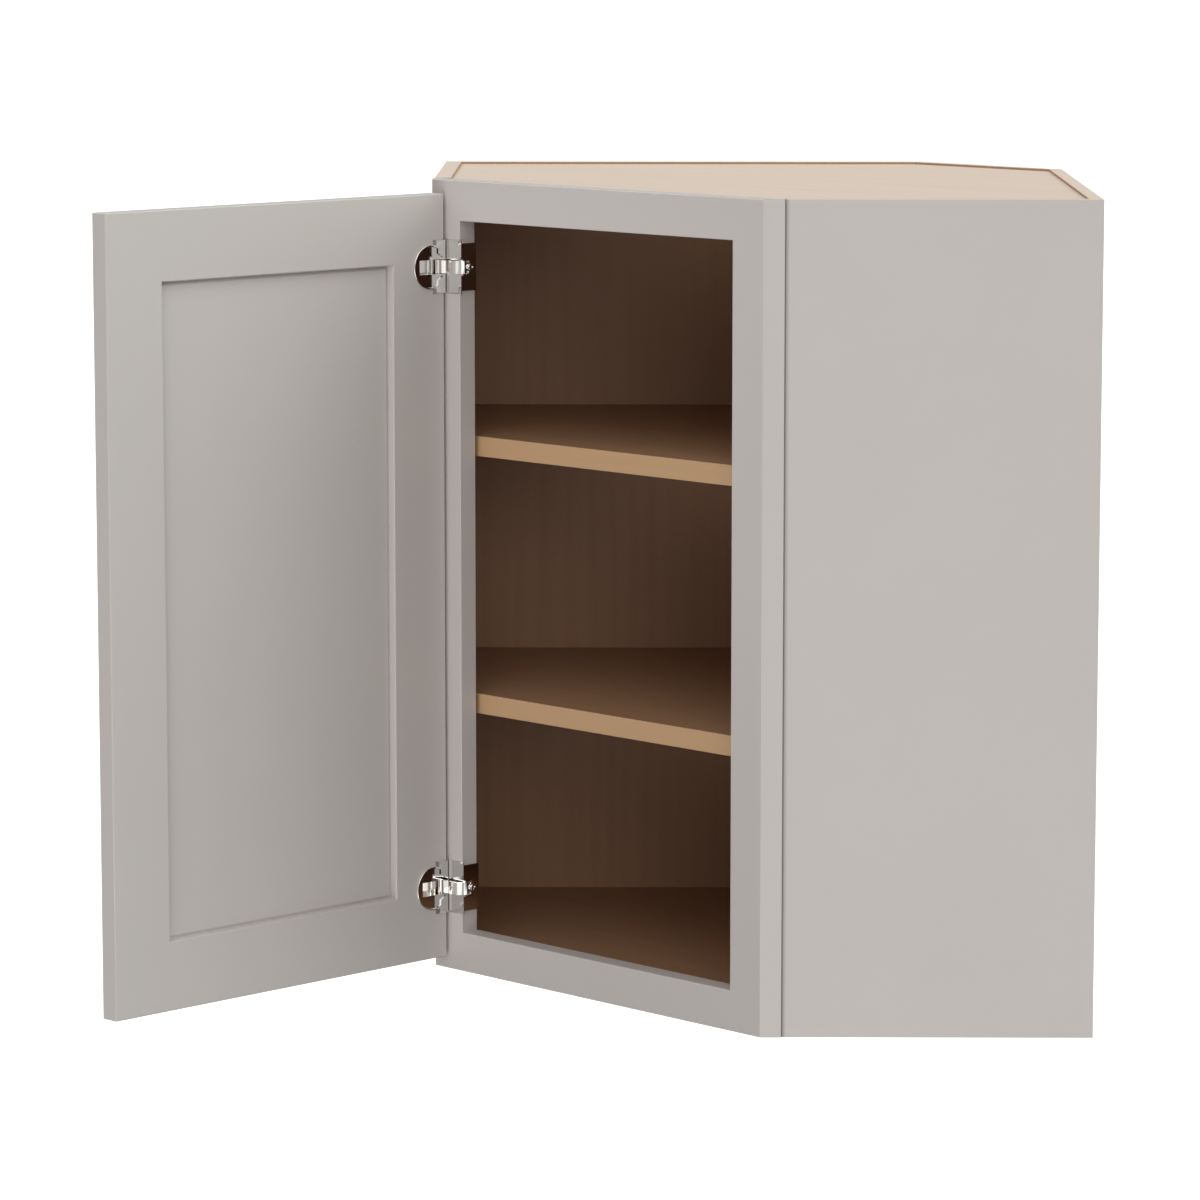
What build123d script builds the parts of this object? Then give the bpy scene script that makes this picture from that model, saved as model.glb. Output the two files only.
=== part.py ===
from build123d import *
import os
from math import sqrt

# Corner wall cabinet: two equal sides stand square to the walls of a room corner, a face frame and its
# door cross the corner at 45 degrees. Millimetres. The origin is the room corner, level with the
# cabinet's underside: the rear wall is the plane Y = 0, the right wall is X = 0, and Z points up.
# The part stands open, with the door swung out square to the face frame.

# Carcass
wall_run = 609.6            # length along each wall, from the room corner
side_depth = 304.8          # how far each side stands out from its wall
cabinet_height = 762.0
corner_clip = 132.0         # room corner cut off the back, measured along each wall
side_thickness = 15.9
back_thickness = 12.7
deck_thickness = 12.7       # the top and bottom panels
top_recess = 2.0            # top panel below the upper edges of sides and backs
bottom_recess = 6.4         # bottom panel above their lower edges

# Hanging rails and the holes for the screws into the wall
hanging_rail_height = 60.0
hanging_rail_thickness = 12.7
wall_hole_inset = 25.0      # from each end of the back's inner face
wall_hole_radius = 2.5

# Face frame
frame_thickness = 19.05
frame_proud = 1.6           # frame beyond the outer faces of the side panels
return_width = 19.4         # mitred end face of a stile, up to the side panel's end
stile_width = 38.1
rail_height = 38.1
eased_edge = 0.8
side_panel_ease = 1.6       # corner of the side panel that leaves a shadow line beside the stile

# Shelves
shelf_names = ("lower", "upper")
shelf_thickness = 19.0
shelf_gap = 1.5             # play between a shelf and the walls round it
shelf_setback = 6.0         # shelf front behind the rear of the face frame
band_thickness = 1.0
pin_radius = 2.5            # stub in the panel
pin_depth = 9.0
pin_head_radius = 4.5
pin_head_length = 9.0
pin_flat = 2.0              # flat top of the head above the stub's centre line
side_pin_setback = 50.0     # from the front end of a side panel
back_pin_setback = 50.0     # from both ends of a back panel

# Dowels
dowel_radius = 3.0
dowel_play = 0.05
frame_dowel_length = 36.0
frame_dowel_pitch = 19.0
deck_dowel_length = 20.0
deck_dowel_in_side = 8.0
deck_dowel_end = 60.0       # first dowel from the side panel's end, and last one from the back

# Door
door_overlay = 25.4         # door over each stile
door_end_reveal = 12.7      # frame left bare above and below the door
door_gap = 3.2              # closed door off the face frame
door_thickness = 19.05
door_stile_width = 65.0
door_rail_height = 65.0
door_edge_round = 1.2
panel_recess = 6.5          # panel below the frame of the door, on both faces
recess_run = 0.8            # lean of the steep wall round the recess
recess_ease = 0.8           # eased arris at the top of that wall
quirk_width = 3.0           # narrow groove in the panel along the foot of the wall
quirk_depth = 1.5
quirk_floor = 0.5
panel_groove = 8.0          # groove round the recess, deeper than the panel's foot
panel_float = 0.8           # play left at the bottom of the groove

# Hinges: a cup let into the door, an arm that reaches into the cup, and a plate that wraps the stile
hinge_inset = 69.0          # from each end of the door
pivot_in = 3.5              # hinge axis from the door's edge
pivot_deep = 3.8            # hinge axis below the door's inner face
hinge_pin_radius = 1.5
running_play = 0.05
barrel_radius = 3.3
barrel_height = 13.0
arm_width = 12.0
arm_thickness = 2.2
arm_front = 7.2             # the arm's flat front in front of the frame's face
arm_web_start = 6.4         # the arm starts to slope this far before its outer side
arm_play = 0.45             # arm to cup
arm_lift = 0.7              # arm above the plate's leaf on the stile's edge
arm_leg_end = 1.1           # and ends this far behind the frame's face
prong_thickness = 1.7
prong_top = 1.0             # prongs start this far in front of the frame's face
prong_end = 8.2             # and end this far behind it
prong_lip = 2.2             # their ends turn towards each other by this
foot_end = 16.0
foot_thickness = 1.2
plate_front_width = 18.0
plate_front_height = 51.0
plate_front_thickness = 0.9
plate_side_height = 45.0
plate_side_thickness = 3.0
plate_back_setback = 0.5    # plate's rear edge from the rear of the frame
hinge_play = 0.5            # cup flange to plate, door closed
cup_radius = 17.4           # the round body let into the door
cup_wall = 1.2
cup_floor_play = 1.0
cup_bore_play = 0.1
neck_play = 0.7
neck_wall = 2.1
rim_radius = 21.2
rim_width = 1.6
rim_round = 0.7             # rounding of the rim's two upper edges
rim_floor = 0.6             # flange left under the rim's pocket
wing_overhang = 1.8         # wings past the door's edge
wing_reach = 14.4           # and from that edge to their far foot
wing_height = 52.0
wing_far_run = 3.0          # sloped far side of the wings, along the door
wing_end_run = 0.8          # sloped ends of the wings
wing_near_run = 1.7         # sloped side by the hinge axis, which swings clear of stile and plate
pocket_leave_in = 13.4      # the pocket leaves the round rim here, from the door's edge
shoulder_in = 9.0
shoulder_outer = 17.4       # half heights of the shoulder's upright part
shoulder_inner = 12.8
throat_in = 2.6
throat_half = 8.8
cup_dowel_radius = 4.0
cup_dowel_depth = 9.0
cup_dowel_in = 7.3
cup_dowel_spread = 21.0
hinge_screw_radius = 1.9
hinge_screw_head_radius = 3.5
hinge_screw_head = 2.0
hinge_screw_length = 18.0
screw_play = 0.1
recess_width = 0.9          # cross recess in a screw head
recess_span = 4.2
recess_depth = 1.0

# Worked out from the sizes above. "Sum" lines are x + y of an upright plane at 45 degrees.
root_two = sqrt(2)
side_inner = -(wall_run - side_thickness)
back_inner = -back_thickness
clip_sum = -(corner_clip + back_thickness * root_two)
frame_front_sum = -(wall_run + side_depth)
frame_back_sum = frame_front_sum + frame_thickness * root_two
side_end = -(side_depth - frame_proud - return_width)
frame_length = (wall_run - side_depth + 2 * frame_proud) * root_two

top_level = cabinet_height - top_recess
ceiling = top_level - deck_thickness
floor = bottom_recess + deck_thickness
shelf_count = len(shelf_names)
bay_height = (ceiling - floor - shelf_count * shelf_thickness) / (shelf_count + 1)

door_edge = stile_width - door_overlay
door_width = frame_length - 2 * door_edge
door_height = cabinet_height - 2 * door_end_reveal
panel_thickness = door_thickness - 2 * panel_recess
hinge_heights = (door_end_reveal + hinge_inset, cabinet_height - door_end_reveal - hinge_inset)

neck_half = (barrel_height + neck_play) / 2
neck_outer = neck_half + neck_wall
arm_outer = plate_side_thickness + arm_lift + arm_thickness
slot_end = door_overlay + arm_outer + arm_play
cup_centre = slot_end + cup_wall - sqrt(cup_radius**2 - neck_outer**2)
cup_depth = pivot_deep + barrel_radius + cup_floor_play + cup_wall
flange_height = door_gap - plate_front_thickness - hinge_play
screw_in_stile = hinge_screw_length - foot_thickness - plate_side_thickness

# The face frame's own frame of reference: X along its front from its left corner, Y into the cabinet.
face_plane = Plane(
    origin=(-(wall_run + frame_proud), -(side_depth - frame_proud), 0), x_dir=(1, -1, 0), z_dir=(0, 0, 1)
)
diagonal = Plane(origin=(0, 0, 0), z_dir=(1, -1, 0))
pivot_x = door_edge + pivot_in
pivot_y = -(door_gap + pivot_deep)


def block(x0, x1, y0, y1, z0, z1):
    """A box between two corners."""
    return Pos((x0 + x1) / 2, (y0 + y1) / 2, (z0 + z1) / 2) * Box(x1 - x0, y1 - y0, z1 - z0)


def slab(points, z0, z1):
    """An outline in plan, raised from one height to another."""
    outline = make_face(Polyline(*points, close=True))
    return extrude(Pos(0, 0, z0) * outline, z1 - z0, dir=(0, 0, 1))


def rod(start, direction, radius, length):
    """A round bar from a start point along a direction."""
    return extrude(Plane(origin=start, z_dir=direction) * Circle(radius), length)


def across(piece):
    """The same piece on the other side of the room corner's diagonal."""
    return mirror(piece, about=diagonal)


def on_frame(piece):
    """Carry a piece from the face frame's own reference into the cabinet."""
    return face_plane.location * piece


def swung_open(piece):
    """Carry a piece of the closed door to the open door, and into the cabinet."""
    to_axis = Location((pivot_x, pivot_y, 0))
    turn = Location((0, 0, 0), (0, 0, -90))
    return on_frame(to_axis * turn * to_axis.inverse() * piece)


def save(node, piece):
    """Write one sub-part, a solid or a group of separate solids."""
    solids = piece.solids()
    shape = solids[0] if len(solids) == 1 else Compound(children=solids)
    shape.label = node
    export_step(shape, f"parts/{node}.step")


# Fasteners of the carcass, each with the hole it needs

def deck_dowels(play=0.0):
    """Dowels from the side panels into the edges of the top and bottom panels, or their holes."""
    start = side_inner - deck_dowel_in_side - play
    group = Part()
    for level in (bottom_recess + deck_thickness / 2, ceiling + deck_thickness / 2):
        for place in (side_end + deck_dowel_end, back_inner - deck_dowel_end):
            bar = rod((start, place, level), (1, 0, 0), dowel_radius + play, deck_dowel_length + 2 * play)
            group += bar
            group += across(bar)
    return group


def frame_dowels(play=0.0):
    """Two dowels in each corner of the face frame, or their holes, in the frame's own reference."""
    group = Part()
    middle = frame_thickness / 2
    for joint in (stile_width, frame_length - stile_width):
        for rail_middle in (rail_height / 2, cabinet_height - rail_height / 2):
            for step in (-0.5, 0.5):
                level = rail_middle + step * frame_dowel_pitch
                start = (joint - frame_dowel_length / 2 - play, middle, level)
                group += rod(start, (1, 0, 0), dowel_radius + play, frame_dowel_length + 2 * play)
    return group


def pin_places():
    """Where the shelf pins enter a panel: a point on its face in plan and the way into the room."""
    left_front = (side_inner, side_end + side_pin_setback)
    back_left = (side_inner + back_pin_setback, back_inner)
    back_right = (clip_sum - back_inner - back_pin_setback, back_inner)
    return ((left_front, (1, 0, 0)), (back_left, (0, -1, 0)), (back_right, (0, -1, 0)))


def shelf_underside(number):
    """Height of a shelf's lower face, counted from the bottom."""
    return floor + (number + 1) * bay_height + number * shelf_thickness


def pin_stub(place, way, level, play=0.0):
    """The round part of a pin inside the panel, or its hole."""
    (x, y), (dx, dy, _) = place, way
    start = (x - dx * (pin_depth + play), y - dy * (pin_depth + play), level)
    return rod(start, way, pin_radius + play, pin_depth + play)


def shelf_pins(number):
    """Six pins under one shelf, with flat tops that carry it."""
    level = shelf_underside(number) - pin_flat
    group = Part()
    for place, way in pin_places():
        head = rod((*place, level), way, pin_head_radius, pin_head_length)
        reach = pin_head_length + pin_head_radius
        trim = block(place[0] - reach, place[0] + reach, place[1] - reach, place[1] + reach,
                     level + pin_flat, level + 2 * pin_head_radius)
        pin = pin_stub(place, way, level) + (head - trim)
        group += pin
        group += across(pin)
    return group


def pin_holes():
    """The holes for every shelf pin."""
    group = Part()
    for number in range(shelf_count):
        level = shelf_underside(number) - pin_flat
        for place, way in pin_places():
            hole = pin_stub(place, way, level, dowel_play)
            group += hole
            group += across(hole)
    return group


def wall_holes():
    """Two holes for wall screws through the rear panel and its hanging rail."""
    level = ceiling - hanging_rail_height / 2
    depth = back_thickness + hanging_rail_thickness
    group = Part()
    for place in (side_inner + wall_hole_inset, clip_sum - back_inner - wall_hole_inset):
        group += rod((place, 0, level), (0, -1, 0), wall_hole_radius, depth)
    return group


# Carcass panels

def side_panel_left():
    """The side that stands out from the rear wall; its front end seats against the stile."""
    points = [(-wall_run, side_end + side_panel_ease), (-wall_run + side_panel_ease, side_end),
              (side_inner, side_end), (side_inner, 0), (-wall_run, 0)]
    return slab(points, 0, cabinet_height) - deck_dowels(dowel_play) - pin_holes()


def back_panel_rear():
    """The back against the rear wall, mitred where it meets the corner panel."""
    slope_end = clip_sum - back_inner
    points = [(side_inner, 0), (-corner_clip, 0), (slope_end, back_inner), (side_inner, back_inner)]
    return slab(points, 0, cabinet_height) - pin_holes() - wall_holes()


def back_corner_panel():
    """The narrow back across the room corner."""
    points = [(-corner_clip, 0), (0, -corner_clip), (back_inner, clip_sum - back_inner),
              (clip_sum - back_inner, back_inner)]
    return slab(points, 0, cabinet_height)


def hanging_rail_rear():
    """The rail that carries the wall screws, glued to the back under the top panel."""
    face = back_inner - hanging_rail_thickness
    points = [
        (side_inner, back_inner),
        (clip_sum - back_inner, back_inner),
        (clip_sum - face, face),
        (side_inner, face),
    ]
    return slab(points, ceiling - hanging_rail_height, ceiling) - wall_holes()


def deck(z0):
    """Top or bottom panel: it fills the plan inside the backs and sides up to the face frame."""
    points = [
        (side_inner, back_inner),
        (clip_sum - back_inner, back_inner),
        (back_inner, clip_sum - back_inner),
        (back_inner, side_inner),
        (side_end, side_inner),
        (side_end, frame_back_sum - side_end),
        (frame_back_sum - side_end, side_end),
        (side_inner, side_end),
    ]
    return slab(points, z0, z0 + deck_thickness) - deck_dowels(dowel_play)


# Shelves

def shelf_outline(front_sum):
    """A shelf's plan, up to a front line parallel to the face frame."""
    near_side = side_inner + shelf_gap
    near_back = back_inner - shelf_gap
    near_clip = clip_sum - shelf_gap * root_two - near_back
    return [
        (near_side, near_back),
        (near_clip, near_back),
        (near_back, near_clip),
        (near_back, near_side),
        (front_sum - near_side, near_side),
        (near_side, front_sum - near_side),
    ]


def shelf(number):
    """The board of a shelf, behind its edge band."""
    front_sum = frame_back_sum + (shelf_setback + band_thickness) * root_two
    low = shelf_underside(number)
    return slab(shelf_outline(front_sum), low, low + shelf_thickness)


def shelf_band(number):
    """The strip glued to a shelf's front edge."""
    near_side = side_inner + shelf_gap
    front_sum = frame_back_sum + shelf_setback * root_two
    back_sum = front_sum + band_thickness * root_two
    points = [
        (near_side, front_sum - near_side),
        (front_sum - near_side, near_side),
        (back_sum - near_side, near_side),
        (near_side, back_sum - near_side),
    ]
    low = shelf_underside(number)
    return slab(points, low, low + shelf_thickness)


# Face frame, in its own reference

def face_frame():
    """The whole face frame before it is parted into stiles and rails."""
    reach = frame_thickness * root_two
    whole = on_frame(block(-reach, frame_length + reach, 0, frame_thickness, 0, cabinet_height))
    outer = wall_run + frame_proud
    keep = block(-outer, side_end, -outer, side_end, 0, cabinet_height)
    whole = face_plane.location.inverse() * (whole & keep)
    opening = block(stile_width, frame_length - stile_width, -1, frame_thickness + 1, rail_height,
                    cabinet_height - rail_height)
    whole -= opening
    front = whole.faces().sort_by(Axis.Y)[0]
    return fillet(front.edges(), eased_edge) - frame_dowels(dowel_play)


def hinge_screw_holes():
    """Pilot holes for the hinge screws in the edge of the left stile."""
    group = Part()
    for height in hinge_heights:
        group += rod((stile_width + 1, frame_thickness / 2, height), (-1, 0, 0),
                     hinge_screw_radius + screw_play, screw_in_stile + screw_play + 1)
    return group


# Door, closed, in the face frame's reference

def recess_outline(level, margin):
    """The recess's rectangle at one level of the door's thickness, grown by a margin."""
    width = door_width - 2 * door_stile_width + 2 * margin
    height = door_height - 2 * door_rail_height + 2 * margin
    plane = Plane(origin=(frame_length / 2, level, cabinet_height / 2), x_dir=(1, 0, 0), z_dir=(0, 1, 0))
    return plane * Rectangle(width, height)


def door_recess(face, inward):
    """The recess of one face of the door: an eased arris, then a steep wall down to the panel."""
    arris = face + inward * recess_ease
    rim = loft([recess_outline(face, recess_ease), recess_outline(arris, 0)])
    well = loft([recess_outline(arris, 0), recess_outline(face + inward * panel_recess, -recess_run)])
    return rim + well


def panel_quirk(face, inward):
    """The groove in one face of the panel, all along the foot of the recess's wall."""
    deep = face + inward * quirk_depth
    edge = -recess_run
    ring = loft([recess_outline(face, edge), recess_outline(deep, edge)])
    field = loft([recess_outline(face, edge - quirk_width), recess_outline(deep, edge - quirk_floor)])
    return ring - field


def panel_space(margin):
    """The space of the door panel and its tongue, short of the groove's bottom by a margin."""
    in_x = door_edge + door_stile_width + recess_run - panel_groove + margin
    in_z = door_end_reveal + door_rail_height + recess_run - panel_groove + margin
    front = -(door_gap + door_thickness)
    return block(in_x, frame_length - in_x, front + panel_recess, front + panel_recess + panel_thickness,
                 in_z, cabinet_height - in_z)


def door_frame():
    """Stiles and rails of the door before they are parted."""
    back = -door_gap
    front = back - door_thickness
    whole = block(door_edge, door_edge + door_width, front, back, door_end_reveal,
                  door_end_reveal + door_height)
    whole = fillet(whole.edges(), door_edge_round)
    whole -= door_recess(back, -1)
    whole -= door_recess(front, 1)
    return whole - panel_space(0)


def door_stile(left):
    """One upright of the door: its full width, and the foot of the recess's wall between the rails."""
    x0 = door_edge if left else door_edge + door_width - door_stile_width
    x1 = x0 + door_stile_width
    back = -door_gap
    front = back - door_thickness
    toe = door_end_reveal + door_rail_height + recess_run
    full = block(x0, x1, front, back, 0, cabinet_height)
    foot = block(x0 - recess_run, x1 + recess_run, front, back, toe, cabinet_height - toe)
    return door_frame() & (full + foot)


def door_rail(top):
    """One rail of the door, with the corners of the recess's wall."""
    back = -door_gap
    front = back - door_thickness
    reach = door_end_reveal + door_rail_height + recess_run
    x0 = door_edge + door_stile_width
    x1 = frame_length - x0
    z0, z1 = (cabinet_height - reach, cabinet_height) if top else (0, reach)
    return door_frame() & block(x0, x1, front, back, z0, z1)


def hinge_cutouts():
    """What is milled out of the door for the hinge cups and their dowels."""
    back = -door_gap
    depth = cup_depth + cup_bore_play
    centre = door_edge + cup_centre
    group = Part()
    for height in hinge_heights:
        group += rod((centre, back + 1, height), (0, -1, 0), cup_radius + cup_bore_play, depth + 1)
        half = neck_outer + cup_bore_play
        group += block(door_edge - 1, centre, back - depth, back + 1, height - half, height + half)
        for side in (-1, 1):
            start = (door_edge + cup_dowel_in, back + 1, height + side * cup_dowel_spread)
            group += rod(start, (0, -1, 0), cup_dowel_radius + dowel_play, cup_dowel_depth + dowel_play + 1)
    return group


def door_panel():
    """The floating panel, with a narrow groove round the field of both faces."""
    panel = panel_space(panel_float)
    back = -door_gap - panel_recess
    return panel - panel_quirk(back, -1) - panel_quirk(back - panel_thickness, 1)


# Hinges, in the face frame's reference, the door closed

def cup_flange(height):
    """The flange on the door's inner face: a round rim and two sloped wings."""
    back = -door_gap
    centre = door_edge + cup_centre
    near, far = door_edge - wing_overhang, door_edge + wing_reach
    half = wing_height / 2
    foot = wing_outline(near, far, half, back, height)
    top = wing_outline(near + wing_near_run, far - wing_far_run, half - wing_end_run,
                       back + flange_height, height)
    disc = rod((centre, back, height), (0, 1, 0), rim_radius, flange_height)
    disc = fillet(disc.edges().group_by(Axis.Y)[-1], rim_round)
    disc &= block(door_edge, centre + rim_radius, back, back + flange_height,
                  height - rim_radius, height + rim_radius)
    return loft([foot, top]) + disc


def wing_outline(x0, x1, half, level, height):
    """A rectangle on the door's inner face or parallel to it."""
    face = Plane(origin=((x0 + x1) / 2, level, height), x_dir=(1, 0, 0), z_dir=(0, 1, 0))
    return face * Rectangle(x1 - x0, 2 * half)


def cup_opening(height):
    """The shallow pocket in the flange: round, then a shoulder and a funnel that lead to the arm."""
    back = -door_gap
    centre = door_edge + cup_centre
    inner = rim_radius - rim_width
    leave_x = door_edge + pocket_leave_in
    leave_half = sqrt(inner**2 - (centre - leave_x) ** 2)
    pocket = rod((centre, back + rim_floor, height), (0, 1, 0), inner, flange_height)
    pocket = fillet(pocket.edges().group_by(Axis.Y)[0], rim_floor / 2)
    pocket &= block(leave_x, centre + inner, back, back + 2 * flange_height, height - inner, height + inner)
    half_outline = [
        (leave_x, leave_half),
        (door_edge + shoulder_in, shoulder_outer),
        (door_edge + shoulder_in, shoulder_inner),
        (door_edge + throat_in, throat_half),
        (door_edge - wing_overhang, throat_half),
    ]
    points = half_outline + [(x, -z) for x, z in reversed(half_outline)]
    face = Plane(origin=(0, back + rim_floor, height), x_dir=(1, 0, 0), z_dir=(0, 1, 0))
    return pocket + extrude(face * make_face(Polyline(*points, close=True)), flange_height)


def hinge_cup(height):
    """A cup let into the door, with a slot for the arm and a flange that lies on the door."""
    back = -door_gap
    centre = door_edge + cup_centre
    shell = rod((centre, back, height), (0, -1, 0), cup_radius, cup_depth)
    shell += block(door_edge, centre, back - cup_depth, back, height - neck_outer, height + neck_outer)
    shell += cup_flange(height)
    shell -= cup_opening(height)
    lift = flange_height + 1
    shell -= block(door_edge - wing_overhang - 1, door_edge + slot_end, back - cup_depth + cup_wall,
                   back + lift, height - neck_half, height + neck_half)
    axle = (pivot_x, pivot_y, height - neck_outer)
    return shell - rod(axle, (0, 0, 1), hinge_pin_radius + running_play, 2 * neck_outer)


def hinge_pins():
    """The pins that the arms turn on, held in the walls of the cups' necks."""
    group = Part()
    for height in hinge_heights:
        group += rod((pivot_x, pivot_y, height - neck_outer), (0, 0, 1), hinge_pin_radius, 2 * neck_outer)
    return group


def cup_dowels():
    """Plastic dowels under the wings, which hold the cups in the door."""
    group = Part()
    for height in hinge_heights:
        for side in (-1, 1):
            start = (door_edge + cup_dowel_in, -door_gap, height + side * cup_dowel_spread)
            group += rod(start, (0, -1, 0), cup_dowel_radius, cup_dowel_depth)
    return group


def hinge_arm(height):
    """A strap from the barrel on the pin, sloping down past the stile, to a pronged foot on the plate."""
    low = height - arm_width / 2
    high = height + arm_width / 2
    outer = stile_width + arm_outer
    seat = stile_width + plate_side_thickness
    slope_x = outer - arm_web_start
    slope_y = arm_leg_end + arm_front
    slant = sqrt(arm_web_start**2 + slope_y**2)
    in_x, in_y = -arm_thickness * slope_y / slant, arm_thickness * arm_web_start / slant
    flat_back = -arm_front + arm_thickness
    back_start = slope_x + in_x + (flat_back + arm_front - in_y) * arm_web_start / slope_y
    back_end = outer + in_x - in_y * arm_web_start / slope_y
    points = [
        (pivot_x, -arm_front),
        (slope_x, -arm_front),
        (outer, arm_leg_end),
        (back_end, arm_leg_end),
        (back_start, flat_back),
        (pivot_x, flat_back),
    ]
    strap = slab(points, low, high)
    strap -= block(stile_width, seat, -plate_front_thickness - arm_play, frame_thickness, low, high)
    barrel = rod((pivot_x, pivot_y, height - barrel_height / 2), (0, 0, 1), barrel_radius, barrel_height)
    foot = block(seat, seat + foot_thickness, 0, foot_end, low, high)
    prongs = block(seat, outer, -prong_top, prong_end, low - prong_thickness, high + prong_thickness)
    prongs -= block(seat, outer, -prong_top, prong_end - prong_thickness, low, high)
    prongs -= block(seat, outer, -prong_top, prong_end, low + prong_lip, high - prong_lip)
    arm = barrel + strap + foot + prongs
    arm -= rod((pivot_x, pivot_y, height - barrel_height), (0, 0, 1), hinge_pin_radius + running_play,
               2 * barrel_height)
    return arm - rod((seat - 1, frame_thickness / 2, height), (1, 0, 0), hinge_screw_radius + screw_play,
                     foot_thickness + 2)


def hinge_plate(height):
    """The plate that wraps the stile: a thin leaf on its face and a thick one on its edge."""
    seat = stile_width + plate_side_thickness
    front = block(stile_width - plate_front_width, seat, -plate_front_thickness, 0,
                  height - plate_front_height / 2, height + plate_front_height / 2)
    side = block(stile_width, seat, -plate_front_thickness, frame_thickness - plate_back_setback,
                 height - plate_side_height / 2, height + plate_side_height / 2)
    hole = rod((stile_width - 1, frame_thickness / 2, height), (1, 0, 0), hinge_screw_radius + screw_play,
               plate_side_thickness + 2)
    return front + side - hole


def hinge_screws():
    """One cross-headed screw through each arm's foot and plate into the stile."""
    seat = stile_width + plate_side_thickness + foot_thickness
    middle = frame_thickness / 2
    face = seat + hinge_screw_head
    narrow = recess_width / 2
    wide = recess_span / 2
    group = Part()
    for height in hinge_heights:
        head = rod((seat, middle, height), (1, 0, 0), hinge_screw_head_radius, hinge_screw_head)
        for across_y, along_z in ((narrow, wide), (wide, narrow)):
            head -= block(face - recess_depth, face, middle - across_y, middle + across_y,
                          height - along_z, height + along_z)
        group += head + rod((seat, middle, height), (-1, 0, 0), hinge_screw_radius, hinge_screw_length)
    return group


def main():
    os.makedirs("parts", exist_ok=True)
    left_side = side_panel_left()
    rear_back = back_panel_rear()
    rear_rail = hanging_rail_rear()
    save("side_panel_left", left_side)
    save("side_panel_right", across(left_side))
    save("back_panel_rear", rear_back)
    save("back_panel_right", across(rear_back))
    save("back_corner_panel", back_corner_panel())
    save("hanging_rail_rear", rear_rail)
    save("hanging_rail_right", across(rear_rail))
    save("top_panel", deck(ceiling))
    save("bottom_panel", deck(bottom_recess))
    save("panel_dowels", deck_dowels())

    whole = face_frame()
    beyond = frame_thickness * 2
    left_zone = block(-beyond, stile_width, -1, beyond, 0, cabinet_height)
    right_zone = block(frame_length - stile_width, frame_length + beyond, -1, beyond, 0, cabinet_height)
    middle_zone = block(stile_width, frame_length - stile_width, -1, beyond, 0, cabinet_height / 2)
    save("frame_stile_left", on_frame((whole & left_zone) - hinge_screw_holes()))
    save("frame_stile_right", on_frame(whole & right_zone))
    save("frame_rail_bottom", on_frame(whole & middle_zone))
    save("frame_rail_top", on_frame(whole & Pos(0, 0, cabinet_height / 2) * middle_zone))
    save("frame_dowels", on_frame(frame_dowels()))

    for number, name in enumerate(shelf_names):
        save(f"shelf_{name}", shelf(number))
        save(f"shelf_{name}_edge_band", shelf_band(number))
        save(f"shelf_{name}_pins", shelf_pins(number))

    save("door_stile_hinge_side", swung_open(door_stile(True) - hinge_cutouts()))
    save("door_stile_free_side", swung_open(door_stile(False)))
    save("door_rail_top", swung_open(door_rail(True)))
    save("door_rail_bottom", swung_open(door_rail(False)))
    save("door_panel", swung_open(door_panel()))

    for height, name in zip(hinge_heights, ("lower", "upper")):
        save(f"hinge_cup_{name}", swung_open(hinge_cup(height)))
        save(f"hinge_arm_{name}", on_frame(hinge_arm(height)))
        save(f"hinge_plate_{name}", on_frame(hinge_plate(height)))
    save("hinge_pins", swung_open(hinge_pins()))
    save("hinge_cup_dowels", swung_open(cup_dowels()))
    save("hinge_screws", on_frame(hinge_screws()))


main()
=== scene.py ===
"""Looks for the corner wall cabinet: materials, detailed hinges, shelf pins, studio and camera.

Metres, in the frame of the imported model: the room corner is the origin, the rear wall is Y = 0,
the right wall is X = 0 and Z points up. The door stands open at rest.
"""

from __future__ import annotations

import logging
import math
from dataclasses import dataclass, field
from enum import Enum
from typing import Mapping, Optional, Sequence, Union

import bmesh
import bpy
from mathutils import Euler, Matrix, Vector

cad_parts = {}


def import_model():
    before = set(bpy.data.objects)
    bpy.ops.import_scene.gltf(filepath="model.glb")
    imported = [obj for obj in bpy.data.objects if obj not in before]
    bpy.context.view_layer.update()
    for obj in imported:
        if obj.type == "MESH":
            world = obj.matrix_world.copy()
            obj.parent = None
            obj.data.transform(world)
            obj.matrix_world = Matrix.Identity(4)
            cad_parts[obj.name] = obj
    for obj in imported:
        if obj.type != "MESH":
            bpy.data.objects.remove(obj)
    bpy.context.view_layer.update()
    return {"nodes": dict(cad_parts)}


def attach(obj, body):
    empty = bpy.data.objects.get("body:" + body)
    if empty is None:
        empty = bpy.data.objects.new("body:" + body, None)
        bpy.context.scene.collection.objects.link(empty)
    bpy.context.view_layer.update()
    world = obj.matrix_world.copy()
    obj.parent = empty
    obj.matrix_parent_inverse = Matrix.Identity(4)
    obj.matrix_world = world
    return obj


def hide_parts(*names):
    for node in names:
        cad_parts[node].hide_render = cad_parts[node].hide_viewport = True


log = logging.getLogger("cabinet")

Colour = tuple[float, float, float]
Point = tuple[float, float, float]
MM = 0.001

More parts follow.
